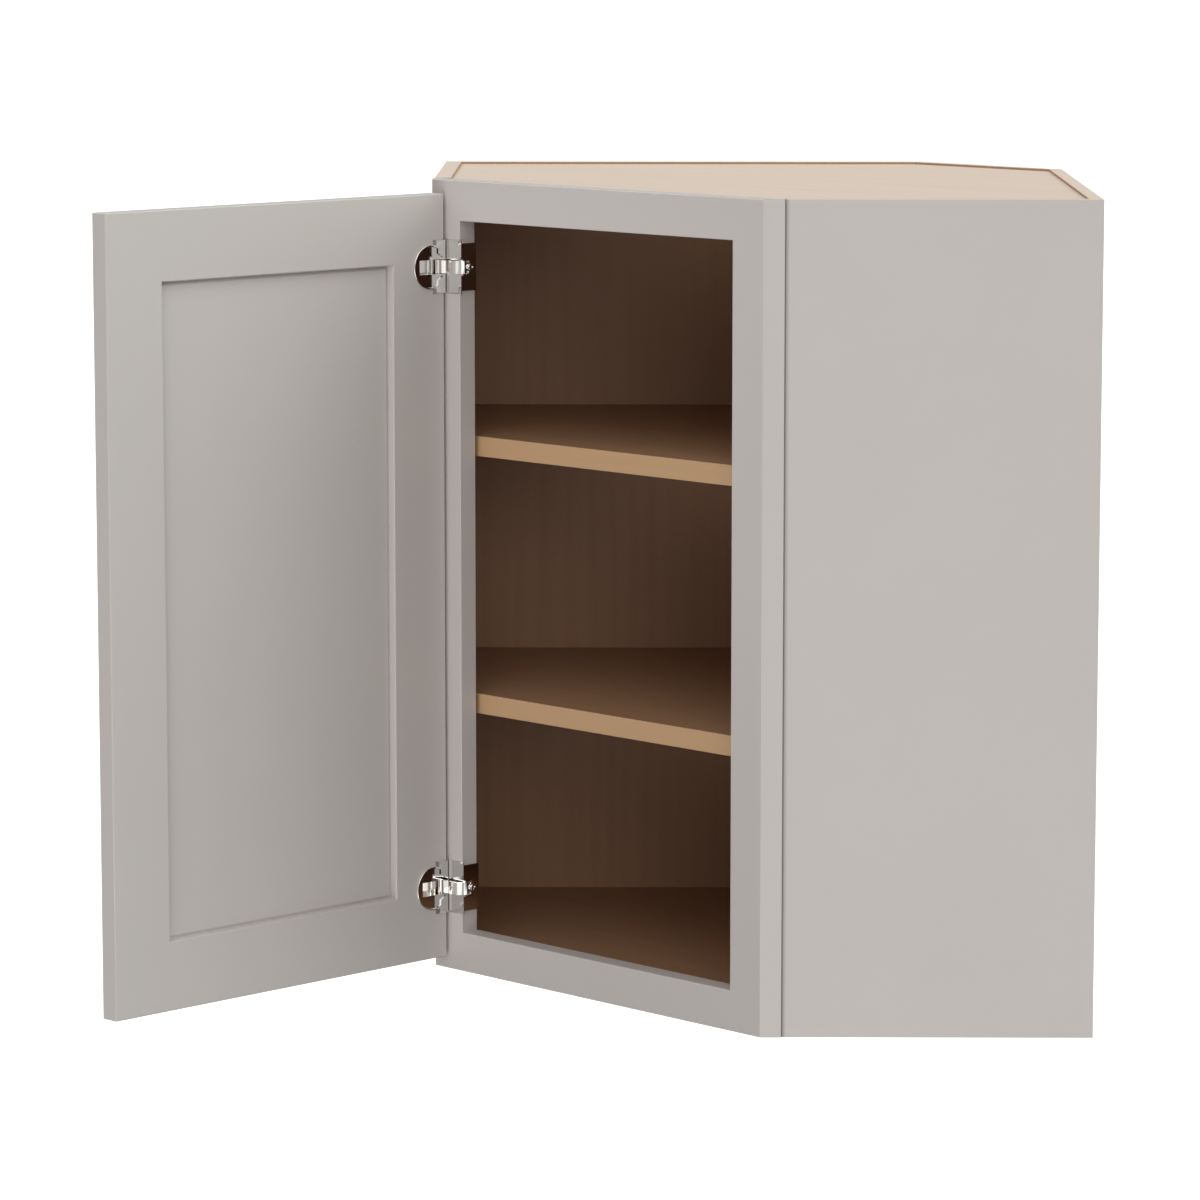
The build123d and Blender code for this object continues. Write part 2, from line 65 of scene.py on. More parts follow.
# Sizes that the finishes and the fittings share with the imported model
WALL_RUN = 609.6 * MM  # from one wall to the outer face of the side that stands on the other
SIDE_INNER = 593.7 * MM  # from that wall to the side's inner face
SIDE_END = 283.8 * MM  # from the wall that a side stands on to its front end
BACK_INNER = 12.7 * MM  # from a wall to the back's inner face
CORNER_SUM = 132.0 * MM  # both distances together, from the walls to the cut corner's rear face
CORNER_INNER_SUM = CORNER_SUM + BACK_INNER * math.sqrt(2.0)  # the same for its inner face
BOTTOM_FACES = (6.4 * MM, 19.1 * MM)
TOP_FACES = (747.3 * MM, 760.0 * MM)
SHELF_FACES = ((249.17 * MM, 268.17 * MM), (498.23 * MM, 517.23 * MM))
FRAME_CORNER = (-611.2 * MM, -303.2 * MM)  # left front corner of the face frame

FRAME_PIECES = ("frame_stile_left", "frame_stile_right", "frame_rail_top", "frame_rail_bottom")
DOOR_PIECES = (
    "door_stile_hinge_side",
    "door_stile_free_side",
    "door_rail_top",
    "door_rail_bottom",
    "door_panel",
)

# Along the diagonal front, both walls' directions count alike
DIAGONAL = math.sqrt(0.5)

# A board's finish lies on its face; the border to the cut edge ends a little deeper
SKIN = 0.45 * MM
SKIN_END = 1.2 * SKIN
BOARD_GLOSS = 0.34

# The middle of a pattern that runs from 0 to 1
MEAN = 0.5

# The grain. A scale is in blotches per metre across it, a stretch says how much slower the pattern
# changes along it, a weight is its share of the tone and a gloss its share of the roughness.
WARP_STRETCH, WARP_SCALE, WARP_SIZE = 0.10, 7.0, 0.09
STREAK_STRETCH, STREAK_SCALE, STREAK_WEIGHT, STREAK_HEIGHT = 0.05, 46.0, 0.50, 0.03 * MM
FIBRE_STRETCH, FIBRE_SCALE, FIBRE_WEIGHT, FIBRE_HEIGHT = 0.012, 1100.0, 0.26, 0.02 * MM
FIBRE_GLOSS = 0.16
DARKEST, PALEST = 0.1, 0.9  # tones at which a wood is as dark and as pale as it gets
RING_SCALE, RING_DISTORTION, RING_DETAIL, RING_DETAIL_SCALE = 16.0, 3.0, 3.0, 1.4

# The cut edge of plywood, with its plies as bands and the rough ends of its fibres as grit
PLY_THICKNESS, PLY_WEIGHT, PLY_HEIGHT = 1.9 * MM, 0.22, 0.03 * MM
PLY_WANDER, PLY_WANDER_SCALE, PLY_BORDER = 0.25 * MM, 60.0, (0.35, 0.65)
GRIT_SCALE, GRIT_WEIGHT, GRIT_HEIGHT, GRIT_GLOSS = 1500.0, 0.5, 0.05 * MM, 0.1
EDGE_TONE, EDGE_ROUGHNESS = 0.62, 0.82
BANDS_PER_UNIT = 20.0  # radians of a Wave texture's bands for one metre at scale 1

# Turned fittings
TURNED_CREASE = 32.0  # edges bent by more degrees than this stay sharp
OVERLAP = 0.2 * MM  # how far two solids reach into each other before they are joined
CUT_PROUD = 1.02  # a cutting box stands proud of what it cuts by this factor


# ---------------------------------------------------------------- shader maths


class Value:
    """A node's output socket that takes part in Python arithmetic."""

    def __init__(self, graph: "Graph", socket: bpy.types.NodeSocket) -> None:
        """Keep the socket and the graph it belongs to.

        Args:
            graph: The graph that new Math nodes are added to.
            socket: The output socket this value stands for.
        """
        self.graph = graph
        self.socket = socket

    def _with(self, operation: str, left: "Number", right: "Number") -> "Value":
        """Add one Math node on two operands."""
        return self.graph.value("ShaderNodeMath", {"operation": operation}, {0: left, 1: right})

    def __add__(self, other: "Number") -> "Value":
        """Sum."""
        return self._with("ADD", self, other)

    def __radd__(self, other: "Number") -> "Value":
        """Sum, reflected."""
        return self._with("ADD", other, self)

    def __sub__(self, other: "Number") -> "Value":
        """Difference."""
        return self._with("SUBTRACT", self, other)

    def __rsub__(self, other: "Number") -> "Value":
        """Difference, reflected."""
        return self._with("SUBTRACT", other, self)

    def __mul__(self, other: "Number") -> "Value":
        """Product."""
        return self._with("MULTIPLY", self, other)

    def __truediv__(self, other: "Number") -> "Value":
        """Quotient."""
        return self._with("DIVIDE", self, other)

    def __neg__(self) -> "Value":
        """The same size the other way."""
        return self._with("MULTIPLY", self, -1.0)


Number = Union[Value, float, int]


class Graph:
    """A node tree that is written as expressions."""

    def __init__(self, tree: bpy.types.NodeTree) -> None:
        """Start from an empty tree.

        Args:
            tree: The tree that gets the nodes.
        """
        self.tree = tree
        self.tree.nodes.clear()

    def node(
        self, kind: str, settings: Mapping[str, object], sockets: Mapping[Union[int, str], object]
    ) -> bpy.types.Node:
        """Add a node, set its options first and then its sockets.

        Args:
            kind: The node's type name.
            settings: Options by name; "stops" gives a ramp's places and colours.
            sockets: Inputs by name or number, each a plain value, a Value or a list of Values.

        Returns:
            The new node.
        """
        made = self.tree.nodes.new(kind)
        for name, option in settings.items():
            if name == "stops":
                self._set_stops(made, option)
            else:
                setattr(made, name, option)
        for key, given in sockets.items():
            target = made.inputs[key]
            if isinstance(given, Value):
                self.tree.links.new(given.socket, target)
            elif isinstance(given, list):
                for each in given:
                    self.tree.links.new(each.socket, target)
            elif isinstance(given, tuple) and target.type == "RGBA":
                target.default_value = (*given, 1.0)
            else:
                target.default_value = given
        return made

    @staticmethod
    def _set_stops(made: bpy.types.Node, stops: Sequence[tuple[float, Colour]]) -> None:
        """Give a colour ramp its stops.

        Args:
            made: The ramp node.
            stops: Places from 0 to 1, each with its colour.
        """
        elements = made.color_ramp.elements
        while len(elements) < len(stops):
            elements.new(0.5)
        for element, (place, colour) in zip(elements, stops):
            element.position = place
            element.color = (*colour, 1.0)

    def value(
        self,
        kind: str,
        settings: Mapping[str, object],
        sockets: Mapping[Union[int, str], object],
        output: Union[int, str] = 0,
    ) -> Value:
        """Add a node and take one of its outputs.

        Args:
            kind: The node's type name.
            settings: The node's options.
            sockets: The node's inputs.
            output: Name or number of the output.

        Returns:
            The output as a value.
        """
        return Value(self, self.node(kind, settings, sockets).outputs[output])

    def split(self, vector: Value) -> tuple[Value, Value, Value]:
        """Part a vector into its x, y and z."""
        x, y, z = self.node("ShaderNodeSeparateXYZ", {}, {0: vector}).outputs
        return Value(self, x), Value(self, y), Value(self, z)

    def joined(self, x: Number, y: Number, z: Number) -> Value:
        """A vector of three values."""
        return self.value("ShaderNodeCombineXYZ", {}, {0: x, 1: y, 2: z})


class Shader(Graph):
    """One node material, or the world's."""

    def __init__(self, owner: Union[bpy.types.Material, bpy.types.World]) -> None:
        """Clear the owner's nodes.

        Args:
            owner: The material or world that gets the nodes.
        """
        owner.use_nodes = True
        super().__init__(owner.node_tree)

    def place(self) -> Value:
        """The point on the piece, in metres."""
        return self.value("ShaderNodeTexCoord", {}, {}, "Object")

    def along(self, axis: Point) -> Value:
        """How far the point on the piece lies along a direction, in metres."""
        x, y, z = self.split(self.place())
        return x * axis[0] + y * axis[1] + z * axis[2]

    def noise(self, vector: Value, scale: float, detail: float = 3.0, rough: float = 0.55) -> Value:
        """Soft random pattern from 0 to 1.

        Args:
            vector: Where the pattern is read.
            scale: Blotches in each unit of the vector.
            detail: Octaves.
            rough: Weight of the finer octaves.

        Returns:
            The pattern.
        """
        return self.value(
            "ShaderNodeTexNoise",
            {},
            {"Vector": vector, "Scale": scale, "Detail": detail, "Roughness": rough},
        )

    def bands(self, vector: Value, sockets: Mapping[str, float]) -> Value:
        """Wavy bands from 0 to 1.

        Args:
            vector: Where the pattern is read; the bands follow each other along its x.
            sockets: The texture's other inputs.

        Returns:
            The pattern.
        """
        return self.value(
            "ShaderNodeTexWave",
            {"wave_type": "BANDS", "bands_direction": "X", "wave_profile": "SIN"},
            {"Vector": vector, **sockets},
            "Fac",
        )

    def most(self, first: Value, second: Value) -> Value:
        """The larger of two values."""
        return self.value("ShaderNodeMath", {"operation": "MAXIMUM"}, {0: first, 1: second})

    def step(
        self, given: Number, low: float, high: float, out: tuple[float, float] = (0.0, 1.0)
    ) -> Value:
        """A smooth change from one level to another.

        Args:
            given: The value that drives it.
            low: Where it starts.
            high: Where it ends.
            out: The two levels.

        Returns:
            The level.
        """
        return self.value(
            "ShaderNodeMapRange",
            {"interpolation_type": "SMOOTHSTEP", "clamp": True},
            {"Value": given, "From Min": low, "From Max": high, "To Min": out[0], "To Max": out[1]},
        )

    def blend(self, factor: Number, first: object, second: object) -> Value:
        """Mix two colours.

        Args:
            factor: 0 for the first, 1 for the second.
            first: A colour or a value.
            second: A colour or a value.

        Returns:
            The mixed colour.
        """
        made = self.node("ShaderNodeMix", {"data_type": "RGBA"}, {0: factor, 6: first, 7: second})
        return Value(self, made.outputs[2])

    def ramp(self, given: Value, stops: Sequence[tuple[float, Colour]]) -> Value:
        """The colour at a place from 0 to 1 between stops of known colours."""
        return self.value("ShaderNodeValToRGB", {"stops": stops}, {0: given})


class Recipe(Graph):
    """A Geometry Nodes tree that turns one small fitting and sets it on every place it is given."""

    def __init__(self, name: str) -> None:
        """Start a tree with places in and finished pieces out.

        Args:
            name: The tree's name.
        """
        super().__init__(bpy.data.node_groups.new(name, "GeometryNodeTree"))
        self.tree.interface.new_socket("Places", in_out="INPUT", socket_type="NodeSocketGeometry")
        self.tree.interface.new_socket("Pieces", in_out="OUTPUT", socket_type="NodeSocketGeometry")
        self.entry = self.tree.nodes.new("NodeGroupInput")

    def given(self, name: str, kind: str = "NodeSocketFloat") -> Value:
        """Add a named input.

        Args:
            name: The input's name.
            kind: The socket's type.

        Returns:
            The input as a value.
        """
        self.tree.interface.new_socket(name, in_out="INPUT", socket_type=kind)
        return Value(self, self.entry.outputs[name])

    def fused(self, *solids: Value) -> Value:
        """Join solids.

        Args:
            solids: The solids, each of which meets another.

        Returns:
            The one solid that they make.
        """
        options = {"operation": "UNION", "solver": "EXACT"}
        return self.value("GeometryNodeMeshBoolean", options, {1: list(solids)})

    def cut(self, solid: Value, *tools: Value) -> Value:
        """Cut solids from another.

        Args:
            solid: The solid to cut.
            tools: The solids to cut away.

        Returns:
            What is left.
        """
        options = {"operation": "DIFFERENCE", "solver": "EXACT"}
        return self.value("GeometryNodeMeshBoolean", options, {0: solid, 1: list(tools)})

    def turned(self, profile: Sequence[tuple[Number, Number]], sides: int = 40) -> Value:
        """A closed body of revolution round Z.

        Args:
            profile: Heights and radii from the lowest up, no two heights alike.
            sides: Facets all round.

        Returns:
            The body.
        """
        slices = []
        for (low, radius_low), (high, radius_high) in zip(profile, profile[1:]):
            cone = self.value(
                "GeometryNodeMeshCone",
                {},
                {
                    "Vertices": sides,
                    "Radius Top": radius_high,
                    "Radius Bottom": radius_low,
                    "Depth": high - low,
                },
            )
            slices.append(
                self.value("GeometryNodeTransform", {}, {0: cone, 1: self.joined(0.0, 0.0, low)})
            )
        return self.fused(*slices)

    def box(
        self, size: tuple[Number, Number, Number], centre: tuple[Number, Number, Number]
    ) -> Value:
        """A box for cutting.

        Args:
            size: Its three lengths.
            centre: Its middle.

        Returns:
            The box.
        """
        cube = self.value("GeometryNodeMeshCube", {}, {0: self.joined(*size)})
        return self.value("GeometryNodeTransform", {}, {0: cube, 1: self.joined(*centre)})

    def spread(self, fitting: Value, spin: float = 0.0) -> None:
        """Set the fitting on every place, as the places' "turn" says, and end the tree.

        Args:
            fitting: One fitting at the origin, its axis along Z.
            spin: Each fitting turns about its own axis by a random angle up to this.
        """
        turn = self.value(
            "GeometryNodeInputNamedAttribute", {"data_type": "FLOAT_VECTOR"}, {0: "turn"}
        )
        facing = self.value("FunctionNodeEulerToRotation", {}, {0: turn})
        seed = self.given("Seed", "NodeSocketInt")
        angle = self.value(
            "FunctionNodeRandomValue", {"data_type": "FLOAT"}, {2: -spin, 3: spin, 8: seed}, 1
        )
        twist = self.value("FunctionNodeEulerToRotation", {}, {0: self.joined(0.0, 0.0, angle)})
        whole = self.value(
            "FunctionNodeRotateRotation", {"rotation_space": "LOCAL"}, {0: facing, 1: twist}
        )
        places = Value(self, self.entry.outputs["Places"])
        copies = self.value("GeometryNodeInstanceOnPoints", {}, {0: places, 2: fitting, 5: whole})
        real = self.value("GeometryNodeRealizeInstances", {}, {0: copies})
        finish = self.given("Finish", "NodeSocketMaterial")
        pieces = self.value("GeometryNodeSetMaterial", {}, {0: real, 2: finish})
        self.node("NodeGroupOutput", {}, {0: pieces})

    def made(
        self,
        name: str,
        places: Sequence[tuple[Point, Point]],
        inputs: Mapping[str, object],
    ) -> bpy.types.Object:
        """Run the tree and keep what it gives as one plain mesh.

        Args:
            name: The piece's name.
            places: Each fitting's place and its turn about X, Y and Z.
            inputs: The tree's inputs by name.

        Returns:
            The piece.
        """
        data = bpy.data.meshes.new(name + "_places")
        data.from_pydata([place for place, _ in places], [], [])
        turns = data.attributes.new("turn", "FLOAT_VECTOR", "POINT")
        for item, (_, turn) in zip(turns.data, places):
            item.vector = turn
        carrier = bpy.data.objects.new(name + "_places", data)
        modifier = carrier.modifiers.new("recipe", "NODES")
        modifier.node_group = self.tree
        for item in self.tree.interface.items_tree:
            if item.in_out == "INPUT" and item.name in inputs:
                modifier[item.identifier] = inputs[item.name]
        bpy.context.scene.collection.objects.link(carrier)
        piece = settled(carrier, name)
        smoothed(piece, TURNED_CREASE)
        return piece


@dataclass
class Coat:
    """What one surface layer gives to the final shader.

    Attributes:
        colour: Base colour.
        roughness: 0 for a mirror, 1 for chalk.
        height: Relief in metres.
    """

    colour: Value
    roughness: Value
    height: Value


def overlay(shader: Shader, mask: Value, under: Coat, over: Coat) -> Coat:
    """Lay one coat over another where a mask is 1.

    Args:
        shader: The shader being made.
        mask: 0 where the lower coat shows, 1 where the upper one does.
        under: The lower coat.
        over: The upper coat.

    Returns:
        The two together.
    """
    return Coat(
        shader.blend(mask, under.colour, over.colour),
        under.roughness + (over.roughness - under.roughness) * mask,
        under.height + (over.height - under.height) * mask,
    )


def close(shader: Shader, coat: Coat, metallic: float = 0.0, gloss: float = 0.5) -> None:
    """End a material with its Principled shader.

    Args:
        shader: The shader being made.
        coat: The finished coat.
        metallic: 1 for bare metal.
        gloss: Specular level of what isn't metal.
    """
    bump = shader.value(
        "ShaderNodeBump", {}, {"Strength": 1.0, "Distance": 1.0, "Height": coat.height}
    )
    surface = shader.value(
        "ShaderNodeBsdfPrincipled",
        {},
        {
            "Base Color": coat.colour,
            "Roughness": coat.roughness,
            "Normal": bump,
            "Metallic": metallic,
            "Specular IOR Level": gloss,
        },
    )
    shader.node("ShaderNodeOutputMaterial", {}, {"Surface": surface})


# ---------------------------------------------------------------- finishes


class Way(Enum):
    """The direction that a board's grain runs in."""

    UPRIGHT = "upright"
    ALONG_X = "along x"
    ALONG_Y = "along y"
    ALONG_FRONT = "along the diagonal front"


@dataclass(frozen=True)
class Paint:
    """Sprayed satin paint with a faint orange peel.

    Attributes:
        colour: The paint.
        shade: The same paint where it lies a little thicker.
        roughness: Its mean roughness.
        unevenness: How far the roughness wanders.
        cloud_scale: Thicker and thinner areas per metre.
        cloud_range: Where in their pattern the paint turns to its shade.
        patch_scale: Rougher and smoother areas per metre.
        peel_scale: Dimples of the orange peel per metre.
        peel_height: Their relief.
        gloss: Specular level.
    """

    colour: Colour = (0.568, 0.525, 0.501)
    shade: Colour = (0.560, 0.518, 0.494)
    roughness: float = 0.46
    unevenness: float = 0.10
    cloud_scale: float = 9.0
    cloud_range: tuple[float, float] = (0.3, 0.7)
    patch_scale: float = 36.0
    peel_scale: float = 420.0
    peel_height: float = 0.035 * MM
    gloss: float = 0.42

    def coat(self, shader: Shader) -> Coat:
        """The paint's layer.

        Args:
            shader: The shader being made.

        Returns:
            The layer.
        """
        place = shader.place()
        clouds = shader.noise(place, self.cloud_scale, detail=2.0)
        patches = shader.noise(place, self.patch_scale)
        peel = shader.noise(place, self.peel_scale, detail=2.0, rough=0.4)
        return Coat(
            shader.blend(shader.step(clouds, *self.cloud_range), self.colour, self.shade),
            self.roughness + (patches - MEAN) * self.unevenness,
            peel * self.peel_height,
        )

    def material(self, name: str) -> bpy.types.Material:
        """A material of paint alone.

        Args:
            name: The material's name.

        Returns:
            The material.
        """
        made = bpy.data.materials.new(name)
        shader = Shader(made)
        close(shader, self.coat(shader), gloss=self.gloss)
        return made


@dataclass(frozen=True)
class Timber:
    """Wood with a grain that runs one way.

    Attributes:
        pale: The lightest fibres.
        middle: The usual colour.
        dark: The darkest streaks.
        roughness: 0.35 for lacquer, 0.8 for bare wood.
        figure: How strongly the broad figure shows.
    """

    pale: Colour
    middle: Colour
    dark: Colour
    roughness: float
    figure: float

    def _toned(self, shader: Shader, tone: Value) -> Value:
        """The wood's colour for a tone from 0, dark, to 1, pale."""
        stops = ((DARKEST, self.dark), (MEAN, self.middle), (PALEST, self.pale))
        return shader.ramp(tone, stops)

    def coat(self, shader: Shader, way: Way) -> Coat:
        """The wood's layer.

        Args:
            shader: The shader being made.
            way: Where the grain runs.

        Returns:
            The layer.
        """
        x, y, z = shader.split(shader.place())
        along, wide, deep = {
            Way.UPRIGHT: (z, x + y, x - y),
            Way.ALONG_X: (x, y, z),
            Way.ALONG_Y: (y, x, z),
            Way.ALONG_FRONT: ((x - y) * DIAGONAL, (x + y) * DIAGONAL, z),
        }[way]
        lean = shader.joined(wide, along * WARP_STRETCH, deep)
        warp = shader.noise(lean, WARP_SCALE, detail=2.0) * WARP_SIZE
        flow = shader.joined(wide + warp, along * STREAK_STRETCH, deep)
        streaks = shader.noise(flow, STREAK_SCALE, detail=4.0, rough=0.6)
        strands = shader.joined(wide, along * FIBRE_STRETCH, deep)
        fibres = shader.noise(strands, FIBRE_SCALE, detail=2.0, rough=0.6)
        rings = shader.bands(
            flow,
            {
                "Scale": RING_SCALE,
                "Distortion": RING_DISTORTION,
                "Detail": RING_DETAIL,
                "Detail Scale": RING_DETAIL_SCALE,
            },
        )
        tone = MEAN + (streaks - MEAN) * STREAK_WEIGHT
        tone = tone + (fibres - MEAN) * FIBRE_WEIGHT + (rings - MEAN) * self.figure
        return Coat(
            self._toned(shader, tone),
            self.roughness + (fibres - MEAN) * FIBRE_GLOSS,
            fibres * FIBRE_HEIGHT + streaks * STREAK_HEIGHT,
        )

    def edge(self, shader: Shader, through: Value) -> Coat:
        """The cut edge of plywood made of this wood.

        Args:
            shader: The shader being made.
            through: The place through the board's thickness, in metres.

        Returns:
            The layer.
        """
        place = shader.place()
        wander = shader.noise(place, PLY_WANDER_SCALE, detail=1.0) * PLY_WANDER
        ply = shader.bands(
            shader.joined(through + wander, 0.0, 0.0),
            {"Scale": math.pi / (BANDS_PER_UNIT * PLY_THICKNESS)},
        )
        layers = shader.step(ply, *PLY_BORDER)
        grit = shader.noise(place, GRIT_SCALE, detail=2.0, rough=0.7)
        tone = EDGE_TONE + (layers - MEAN) * PLY_WEIGHT + (grit - MEAN) * GRIT_WEIGHT
        return Coat(
            self._toned(shader, tone),
            EDGE_ROUGHNESS + (grit - MEAN) * GRIT_GLOSS,
            grit * GRIT_HEIGHT + layers * PLY_HEIGHT,
        )


LACQUERED = Timber(
    (0.414, 0.237, 0.135), (0.368, 0.205, 0.115), (0.307, 0.166, 0.091), 0.44, 0.10
)
# painted light: a lighter copy of the lacquered maple for the backs and rails, standing in for more
# light on them
LACQUERED_LIT = Timber(
    (0.466, 0.266, 0.152), (0.420, 0.234, 0.131), (0.355, 0.192, 0.105), 0.44, 0.10
)
BARE = Timber(
    (0.664, 0.544, 0.465), (0.626, 0.506, 0.424), (0.554, 0.434, 0.349), 0.78, 0.14
)
STRIP = Timber(
    (0.570, 0.359, 0.196), (0.527, 0.329, 0.178), (0.466, 0.285, 0.150), 0.42, 0.06
)
BEECH = Timber((0.620, 0.440, 0.270), (0.560, 0.390, 0.230), (0.480, 0.320, 0.180), 0.6, 0.1)


@dataclass(frozen=True)
class Seam:
    """The joint of a painted side and the face frame: a groove, with painted shade beside it.

    Attributes:
        axis: The direction along the side, towards the joint.
        level: Where the panel ends along that direction.
        groove: Width of the sloped edge in the joint.
        painted: From where to where the paint on that slope ends, in widths of the groove.
        reach: How far from the joint the painted shade reaches.
        loss: How dark the painted shade is in the joint, from 0 to 1.
    """

    axis: Point
    level: float = SIDE_END
    groove: float = 1.6 * MM
    painted: tuple[float, float] = (1.1, 1.2)
    reach: float = 5.0 * MM
    loss: float = 0.32

    def masks(self, shader: Shader) -> tuple[Value, Value]:
        """Where the groove is painted, and how dark the painted shade beside it is.

        Args:
            shader: The shader being made.

        Returns:
            1 in the groove and 0 elsewhere, and the share of the paint's colour taken away as
            painted shade.
        """
        gap = self.level - shader.along(self.axis)
        start, end = (part * self.groove for part in self.painted)
        slope = shader.step(gap, start, end, (1.0, 0.0))
        # painted shade: the paint darkens from loss in the joint to nothing at reach, a contact
        # shadow put into its colour
        return slope, shader.step(gap, self.groove, self.reach, (self.loss, 0.0))


@dataclass(frozen=True)
class Board:
    """Plywood with its own finish on each of its two broad faces and bare cut edges.

    Attributes:
        normal: The direction through the board, not normalised.
        low: Level of the lower face along that direction.
        high: Level of the upper face.
        on_low: Timber or paint of the lower face.
        on_high: Timber or paint of the upper face.
        way: Where the grain of both faces runs.
        seam: The joint that the lower face ends in, where it has one, with painted shade beside it.
    """

    normal: Point
    low: float
    high: float
    on_low: Union[Timber, Paint]
    on_high: Union[Timber, Paint]
    way: Way
    seam: Optional[Seam] = None

    def material(self, name: str) -> bpy.types.Material:
        """The board's material.

        Args:
            name: The material's name.

        Returns:
            The material.
        """
        made = bpy.data.materials.new(name)
        shader = Shader(made)
        through = shader.along(self.normal)
        coat = BARE.edge(shader, through)
        low_mask = shader.step(through, self.low + SKIN, self.low + SKIN_END, (1.0, 0.0))
        high_mask = shader.step(through, self.high - SKIN_END, self.high - SKIN)
        shadow = None
        if self.seam is not None:
            slope, shadow = self.seam.masks(shader)
            low_mask = shader.most(low_mask, slope)
        for face, mask in ((self.on_low, low_mask), (self.on_high, high_mask)):
            over = face.coat(shader) if isinstance(face, Paint) else face.coat(shader, self.way)
            # painted shade: beside the joint the paint's colour is darkened towards black
            if shadow is not None and isinstance(face, Paint):
                over.colour = shader.blend(shadow, over.colour, (0.0, 0.0, 0.0))
            coat = overlay(shader, mask, coat, over)
        close(shader, coat, gloss=BOARD_GLOSS)
        return made


@dataclass(frozen=True)
class Metal:
    """Plated metal.

    Attributes:
        colour: Its reflection.
        roughness: Mean roughness.
        brushed: How far fine scratches change the roughness.
        smear_scale: Smears per metre.
        smear_range: Where in their pattern the metal turns dull.
        smear_gloss: How far they change the roughness.
        tarnish: Share of the reflection that is left in them.
        line_scale: Scratches per metre round the piece.
        line_spread: How much denser they are up and down.
        line_height: Their relief.
    """

    colour: Colour
    roughness: float
    brushed: float
    smear_scale: float = 160.0
    smear_range: tuple[float, float] = (0.35, 0.75)
    smear_gloss: float = 0.02
    tarnish: float = 0.97
    line_scale: float = 700.0
    line_spread: float = 9.0
    line_height: float = 0.002 * MM

    def material(self, name: str) -> bpy.types.Material:
        """The metal's material.

        Args:
            name: The material's name.

        Returns:
            The material.
        """
        made = bpy.data.materials.new(name)
        shader = Shader(made)
        place = shader.place()
        smears = shader.noise(place, self.smear_scale)
        x, y, z = shader.split(place)
        drawn = shader.joined(x, y, z * self.line_spread)
        lines = shader.noise(drawn, self.line_scale, detail=2.0)
        dull = tuple(part * self.tarnish for part in self.colour)
        coat = Coat(
            shader.blend(shader.step(smears, *self.smear_range), self.colour, dull),
            self.roughness + smears * self.smear_gloss + (lines - MEAN) * self.brushed,
            lines * self.line_height,
        )
        close(shader, coat, metallic=1.0)
        return made


NICKEL = Metal((0.86, 0.83, 0.80), 0.06, 0.05)
STEEL = Metal((0.62, 0.61, 0.60), 0.26, 0.14)


@dataclass(frozen=True)
class Nylon:
    """Moulded plastic.

    Attributes:
        colour: The plastic.
        roughness: Mean roughness.
        unevenness: How far the roughness wanders.
        grain_scale: Grains per metre.
        grain_height: Their relief.
        shade: Share of the colour that is left in their middle.
    """

    colour: Colour = (0.72, 0.70, 0.66)
    roughness: float = 0.5
    unevenness: float = 0.1
    grain_scale: float = 900.0
    grain_height: float = 0.02 * MM
    shade: float = 0.9

    def material(self, name: str) -> bpy.types.Material:
        """The plastic's material.

        Args:
            name: The material's name.

        Returns:
            The material.
        """
        made = bpy.data.materials.new(name)
        shader = Shader(made)
        grain = shader.noise(shader.place(), self.grain_scale, detail=2.0)
        darker = tuple(part * self.shade for part in self.colour)
        coat = Coat(
            shader.blend(grain, self.colour, darker),
            self.roughness + (grain - MEAN) * self.unevenness,
            grain * self.grain_height,
        )
        close(shader, coat)
        return made


# ---------------------------------------------------------------- helpers for pieces


def wear(obj: bpy.types.Object, material: bpy.types.Material) -> None:
    """Give a piece one material.

    Args:
        obj: The piece.
        material: Its material.
    """
    obj.data.materials.clear()
    obj.data.materials.append(material)


def named_mesh(name: str, shape: bmesh.types.BMesh) -> bpy.types.Object:
    """Turn a bmesh into a piece in the scene.

    Args:
        name: The piece's name.
        shape: The mesh, which is freed.

    Returns:
        The piece.
    """
    data = bpy.data.meshes.new(name)
    shape.to_mesh(data)
    shape.free()
    made = bpy.data.objects.new(name, data)
    bpy.context.scene.collection.objects.link(made)
    return made


def settled(obj: bpy.types.Object, name: str) -> bpy.types.Object:
    """Replace a piece and its modifiers by one plain mesh.

    Args:
        obj: The piece with live modifiers, which is removed.
        name: The plain piece's name.

    Returns:
        The plain piece.
    """
    graph = bpy.context.evaluated_depsgraph_get()
    data = bpy.data.meshes.new_from_object(obj.evaluated_get(graph), depsgraph=graph)
    data.name = name
    for modifier in list(obj.modifiers):
        obj.modifiers.remove(modifier)
    bpy.data.objects.remove(obj, do_unlink=True)
    made = bpy.data.objects.new(name, data)
    bpy.context.scene.collection.objects.link(made)
    return made


def smoothed(obj: bpy.types.Object, crease: float) -> None:
    """Shade a plain mesh smooth, apart from its creases.

    Args:
        obj: The piece.
        crease: Edges bent by more than this stay sharp, in degrees.
    """
    for face in obj.data.polygons:
        face.use_smooth = True
    obj.data.set_sharp_from_angle(angle=math.radians(crease))


def on_front(along: float, into: float, level: float) -> Point:
    """A point given from the face frame's left front corner.

    Args:
        along: Distance along the frame's front.
        into: Distance behind its front.
        level: Height.

    Returns:
        The point in the cabinet.
    """
    return (
        FRAME_CORNER[0] + (along + into) * DIAGONAL,
        FRAME_CORNER[1] + (into - along) * DIAGONAL,
        level,
    )


# ---------------------------------------------------------------- the cabinet


